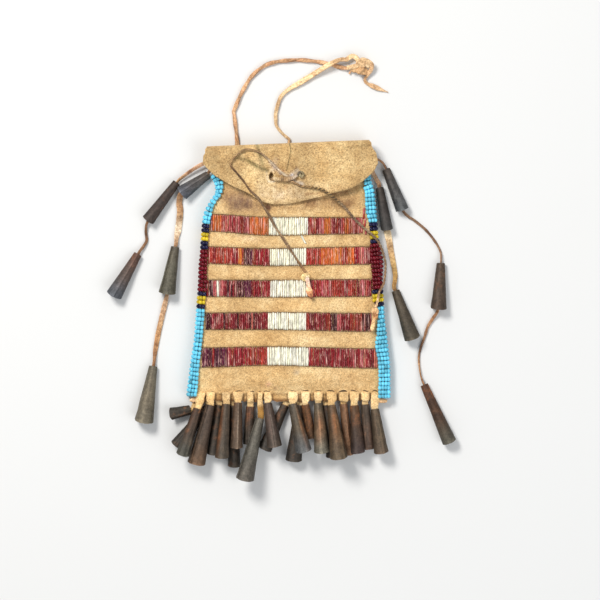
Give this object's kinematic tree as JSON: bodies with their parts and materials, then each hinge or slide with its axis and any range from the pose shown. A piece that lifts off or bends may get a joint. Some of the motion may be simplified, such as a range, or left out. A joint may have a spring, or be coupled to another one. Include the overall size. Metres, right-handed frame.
{
  "type": "tobacco bag",
  "caption": "Small hide pouch with a fold-over flap, neck thong, beaded side seams, quilled bands, and tin cone danglers along the hem and on side thongs.",
  "frame": {"origin": "on the flat underside of the back panel, which the pouch lies on, near the middle of its width and 61 mm above the hem hinge line", "axes": "+X across the front to the right as seen in the picture, +Y from the hem to the fold of the flap, +Z out of the front of the pouch"},
  "size_m": [0.1736, 0.2126, 0.017],
  "materials": {
    "smoked_hide": "soft smoked hide, matte, soiled along the folds",
    "light_blue_beads": "small opaque glass seed beads in light blue, with navy, yellow and dark red blocks",
    "dyed_quills": "flattened quills in reds with an undyed ivory centre, satin",
    "rusted_tin": "thin rolled tinplate, dull grey with brown rust",
    "dark_thong": "narrow hide thong, darkened by handling"
  },
  "bodies": {
    "pouch": {"back_panel": "smoked_hide", "front_panel": "smoked_hide", "left_bead_edging": "light_blue_beads", "right_bead_edging": "light_blue_beads", "quill_band_1": "dyed_quills", "quill_band_2": "dyed_quills", "quill_band_3": "dyed_quills", "quill_band_4": "dyed_quills", "quill_band_5": "dyed_quills", "neck_lacing": "smoked_hide"},
    "flap_fold": {"flap_fold": "smoked_hide"},
    "flap": {"flap": "smoked_hide", "tie_roll": "dark_thong", "tie_left": "dark_thong", "tie_left_knot": "dark_thong", "tie_right": "dark_thong", "tie_right_knot": "dark_thong"},
    "fringe": {"front_fringe": "smoked_hide", "back_fringe": "smoked_hide", "back_cone_01": "rusted_tin", "back_cone_02": "rusted_tin", "back_cone_03": "rusted_tin", "back_cone_04": "rusted_tin", "back_cone_05": "rusted_tin", "back_cone_06": "rusted_tin", "back_cone_07": "rusted_tin", "front_cone_05": "rusted_tin", "front_cone_09": "rusted_tin", "front_cone_12": "rusted_tin", "front_cone_14": "rusted_tin"},
    "cone_01": {"front_cone_01": "rusted_tin"},
    "cone_02": {"front_cone_02": "rusted_tin"},
    "cone_03": {"front_cone_03": "rusted_tin"},
    "cone_04": {"front_cone_04": "rusted_tin"},
    "cone_06": {"front_cone_06": "rusted_tin"},
    "cone_07": {"front_cone_07": "rusted_tin"},
    "cone_08": {"front_cone_08": "rusted_tin"},
    "cone_10": {"front_cone_10": "rusted_tin"},
    "cone_11": {"front_cone_11": "rusted_tin"},
    "cone_13": {"front_cone_13": "rusted_tin"},
    "cone_15": {"front_cone_15": "rusted_tin"},
    "left_outer_tassel": {"left_outer_thong": "smoked_hide", "left_outer_cone_1": "rusted_tin", "left_outer_cone_2": "rusted_tin"},
    "left_inner_tassel": {"left_inner_thong": "smoked_hide", "left_inner_cone_1": "rusted_tin", "left_inner_cone_2": "rusted_tin", "left_inner_cone_3": "rusted_tin"},
    "right_outer_tassel": {"right_outer_thong": "smoked_hide", "right_outer_cone_1": "rusted_tin", "right_outer_cone_2": "rusted_tin", "right_outer_cone_3": "rusted_tin"},
    "right_inner_tassel": {"right_inner_thong": "smoked_hide", "right_inner_cone_1": "rusted_tin", "right_inner_cone_2": "rusted_tin"},
    "neck_loop": {"neck_strand_left": "smoked_hide", "neck_strand_right": "smoked_hide", "neck_knot": "smoked_hide"}
  },
  "joints": [
    {"name": "fold_bend", "type": "hinge", "parent": "pouch", "child": "flap_fold", "pos_m": [-0.00091, 0.06315, 0.0028], "axis": [-0.9992, -0.0401, 0], "range_deg": [0, 75]},
    {"name": "flap_lift", "type": "hinge", "parent": "flap_fold", "child": "flap", "pos_m": [-0.00091, 0.06315, 0.0112], "axis": [-0.9992, -0.0401, 0], "range_deg": [0, 75]},
    {"name": "fringe_lift", "type": "hinge", "parent": "pouch", "child": "fringe", "pos_m": [0, -0.06115, 0.0049], "axis": [-1, 0, 0], "range_deg": [0, 60]},
    {"name": "cone_01_swing", "type": "hinge", "parent": "fringe", "child": "cone_01", "pos_m": [-0.04597, -0.06938, 0.0066], "axis": [-0.9527, 0.304, 0], "range_deg": [0, 30]},
    {"name": "cone_02_swing", "type": "hinge", "parent": "fringe", "child": "cone_02", "pos_m": [-0.03951, -0.0673, 0.0066], "axis": [-0.972, 0.2351, 0], "range_deg": [0, 30]},
    {"name": "cone_03_swing", "type": "hinge", "parent": "fringe", "child": "cone_03", "pos_m": [-0.03176, -0.06706, 0.005], "axis": [-0.9971, 0.0767, 0], "range_deg": [0, 30]},
    {"name": "cone_04_swing", "type": "hinge", "parent": "fringe", "child": "cone_04", "pos_m": [-0.02585, -0.0663, 0.0058], "axis": [-0.9996, 0.0279, 0], "range_deg": [0, 30]},
    {"name": "cone_06_swing", "type": "hinge", "parent": "fringe", "child": "cone_06", "pos_m": [-0.01486, -0.07414, 0.0066], "axis": [-0.9703, 0.2419, 0], "range_deg": [0, 30]},
    {"name": "cone_07_swing", "type": "hinge", "parent": "fringe", "child": "cone_07", "pos_m": [-0.01099, -0.06654, 0.0058], "axis": [-0.986, -0.1668, 0], "range_deg": [0, 30]},
    {"name": "cone_08_swing", "type": "hinge", "parent": "fringe", "child": "cone_08", "pos_m": [0.00147, -0.06706, 0.0062], "axis": [-0.9728, -0.2317, 0], "range_deg": [0, 30]},
    {"name": "cone_10_swing", "type": "hinge", "parent": "fringe", "child": "cone_10", "pos_m": [0.01412, -0.06654, 0.0048], "axis": [-0.9968, -0.0802, 0], "range_deg": [0, 30]},
    {"name": "cone_11_swing", "type": "hinge", "parent": "fringe", "child": "cone_11", "pos_m": [0.02077, -0.0677, 0.0058], "axis": [-0.9903, -0.1392, 0], "range_deg": [0, 30]},
    {"name": "cone_13_swing", "type": "hinge", "parent": "fringe", "child": "cone_13", "pos_m": [0.03203, -0.0677, 0.005], "axis": [-0.9972, -0.075, 0], "range_deg": [0, 30]},
    {"name": "cone_15_swing", "type": "hinge", "parent": "fringe", "child": "cone_15", "pos_m": [0.04237, -0.06938, 0.0054], "axis": [-0.989, -0.1478, 0], "range_deg": [0, 30]},
    {"name": "left_outer_lift", "type": "hinge", "parent": "pouch", "child": "left_outer_tassel", "pos_m": [-0.0414, 0.0533, 0.0042], "axis": [-0.8192, 0.5735, 0], "range_deg": [0, 45]},
    {"name": "left_inner_lift", "type": "hinge", "parent": "pouch", "child": "left_inner_tassel", "pos_m": [-0.0397, 0.0497, 0.0041], "axis": [-0.9669, 0.2551, 0], "range_deg": [0, 45]},
    {"name": "right_outer_lift", "type": "hinge", "parent": "pouch", "child": "right_outer_tassel", "pos_m": [0.0414, 0.0556, 0.0042], "axis": [-0.9656, -0.26, 0], "range_deg": [0, 45]},
    {"name": "right_inner_lift", "type": "hinge", "parent": "pouch", "child": "right_inner_tassel", "pos_m": [0.0401, 0.0508, 0.0042], "axis": [-0.971, -0.2389, 0], "range_deg": [0, 45]},
    {"name": "neck_loop_lift", "type": "hinge", "parent": "pouch", "child": "neck_loop", "pos_m": [0, 0.0642, 0.00205], "axis": [1, 0, 0], "range_deg": [0, 20]}
  ],
  "couplings": [
    {"joint": "flap_lift", "follows": "fold_bend", "ratio": 1}
  ]
}
